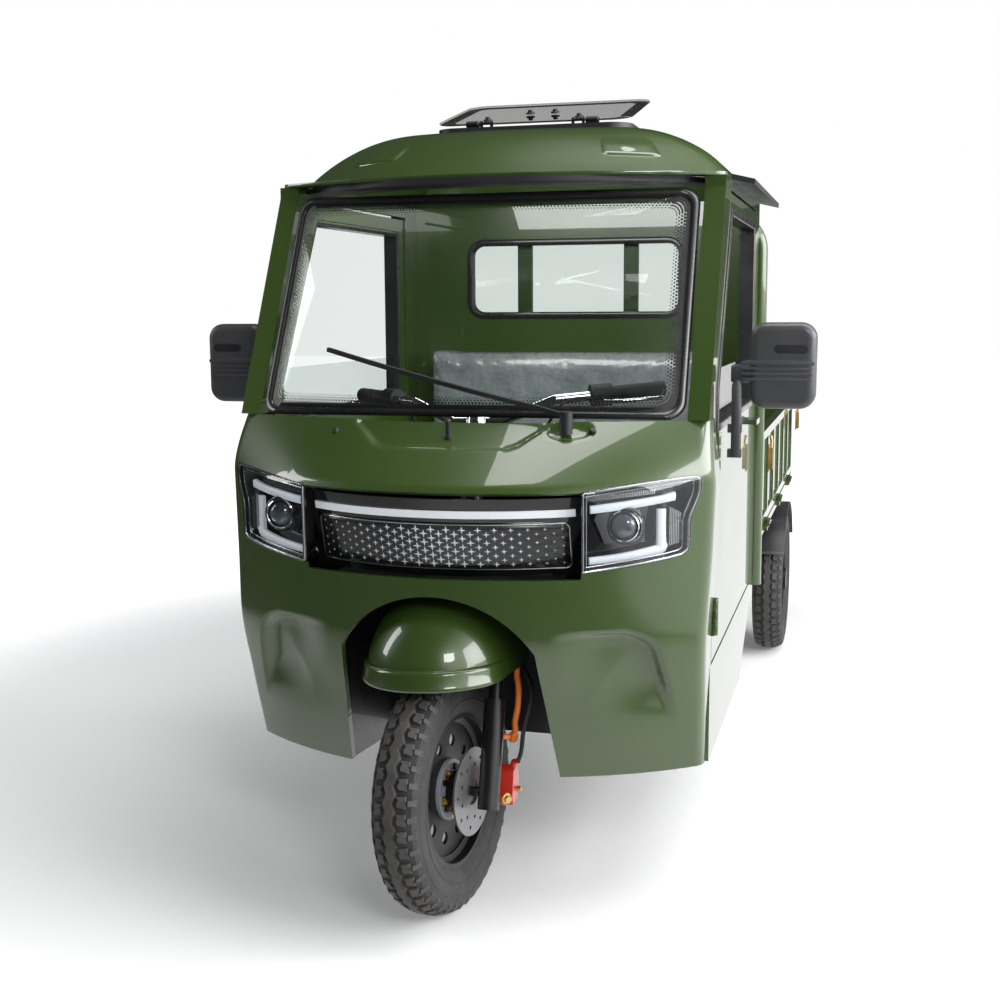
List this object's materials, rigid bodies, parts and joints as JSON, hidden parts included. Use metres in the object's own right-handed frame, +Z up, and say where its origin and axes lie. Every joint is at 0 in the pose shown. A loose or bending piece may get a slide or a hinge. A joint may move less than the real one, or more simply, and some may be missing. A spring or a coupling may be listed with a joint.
{
  "type": "three-wheeled mini truck",
  "caption": "Small electric cargo truck on three wheels with a closed green cab, handlebar steering, tilting roof hatch and a drop-side cargo box",
  "frame": {"origin": "on the ground, on the centre line, midway between the front tyre and the tailgate hinges", "axes": "+X to the vehicle's left, -Y forwards, +Z up"},
  "size_m": [1.412, 3.047, 1.7864],
  "materials": {
    "olive_paint": "gloss enamel",
    "black_paint": "semi-gloss enamel",
    "black_plastic": "grained moulding",
    "gloss_black": "gloss moulding",
    "white_lamp": "frosted light guide",
    "clear": "polished",
    "tinted": "polished",
    "red_lens": "ribbed lens",
    "rubber": "matt",
    "tyre": "block tread",
    "steel": "machined",
    "chrome": "plated",
    "cast": "painted casting",
    "red_cast": "painted casting",
    "grey_vinyl": "vinyl under film"
  },
  "bodies": {
    "chassis": {"cab_front_panel": "olive_paint", "grille_panel": "gloss_black", "grille_light_bar": "white_lamp", "grille_insert": "tinted", "headlight_housings": "gloss_black", "headlight_lenses": "clear", "cab_glass": "clear", "window_gaskets": "rubber", "wiper": "black_plastic", "cab_side_frames": "olive_paint", "cab_back_wall": "olive_paint", "cab_floor": "black_paint", "dashboard": "black_plastic", "roof_shell": "olive_paint", "roof_trim": "black_plastic", "hatch_base": "black_plastic", "seat_base": "black_paint", "seat_cushion": "grey_vinyl", "seat_backrest": "grey_vinyl", "battery_pack": "black_plastic", "chassis_frame": "black_paint", "rear_axle": "cast", "leaf_springs": "black_paint", "rear_mudguards": "black_plastic", "cargo_bed": "olive_paint", "cargo_headboard": "olive_paint", "tail_lamps": "red_lens"},
    "steering": {"steering_fork": "black_paint", "front_mudguard": "olive_paint", "brake_caliper": "red_cast", "handlebar": "chrome", "handlebar_grips": "rubber"},
    "front_wheel": {"front_tyre": "tyre", "front_rim": "black_paint", "brake_disc": "steel"},
    "roof_hatch": {"hatch_glass": "tinted"},
    "rear_board": {"tailgate": "olive_paint"},
    "left_door": {"door_shell_left": "olive_paint", "door_glass_left": "clear", "door_handle_left": "chrome", "door_mirror_left": "black_plastic"},
    "left_drop_side": {"side_board_left": "olive_paint"},
    "left_rear_wheel": {"rear_tyre_left": "tyre", "rear_rim_left": "black_paint"},
    "right_door": {"door_shell_right": "olive_paint", "door_glass_right": "clear", "door_handle_right": "chrome", "door_mirror_right": "black_plastic"},
    "right_drop_side": {"side_board_right": "olive_paint"},
    "right_rear_wheel": {"rear_tyre_right": "tyre", "rear_rim_right": "black_paint"}
  },
  "joints": [
    {"name": "steering_turn", "type": "hinge", "parent": "chassis", "child": "steering", "pos_m": [0, -1.23684, 0.24435], "axis": [0, 0.2756, 0.9613], "range_deg": [-22, 38]},
    {"name": "front_wheel_spin", "type": "hinge", "parent": "steering", "child": "front_wheel", "pos_m": [-0.00487, -1.27016, 0.25391], "axis": [0.9903, -0.1338, 0.0384], "continuous": true},
    {"name": "roof_hatch_tilt", "type": "hinge", "parent": "chassis", "child": "roof_hatch", "pos_m": [0, -0.52848, 1.686], "axis": [1, 0, 0], "range_deg": [-15, 10]},
    {"name": "rear_board_drop", "type": "hinge", "parent": "chassis", "child": "rear_board", "pos_m": [0, 1.51752, 0.6], "axis": [-1, 0, 0], "range_deg": [0, 160]},
    {"name": "left_door_swing", "type": "hinge", "parent": "chassis", "child": "left_door", "pos_m": [0.517, -1.02348, 0.765], "axis": [0, 0, -1], "range_deg": [0, 70]},
    {"name": "left_side_drop", "type": "hinge", "parent": "chassis", "child": "left_drop_side", "pos_m": [0.533, 0.72952, 0.6], "axis": [0, 1, 0], "range_deg": [0, 160]},
    {"name": "left_rear_wheel_spin", "type": "hinge", "parent": "chassis", "child": "left_rear_wheel", "pos_m": [0.485, 1.12952, 0.254], "axis": [1, 0, 0], "continuous": true},
    {"name": "right_door_swing", "type": "hinge", "parent": "chassis", "child": "right_door", "pos_m": [-0.517, -1.02348, 0.765], "axis": [0, 0, 1], "range_deg": [0, 70]},
    {"name": "right_side_drop", "type": "hinge", "parent": "chassis", "child": "right_drop_side", "pos_m": [-0.533, 0.72952, 0.6], "axis": [0, -1, 0], "range_deg": [0, 160]},
    {"name": "right_rear_wheel_spin", "type": "hinge", "parent": "chassis", "child": "right_rear_wheel", "pos_m": [-0.485, 1.12952, 0.254], "axis": [1, 0, 0], "continuous": true}
  ]
}
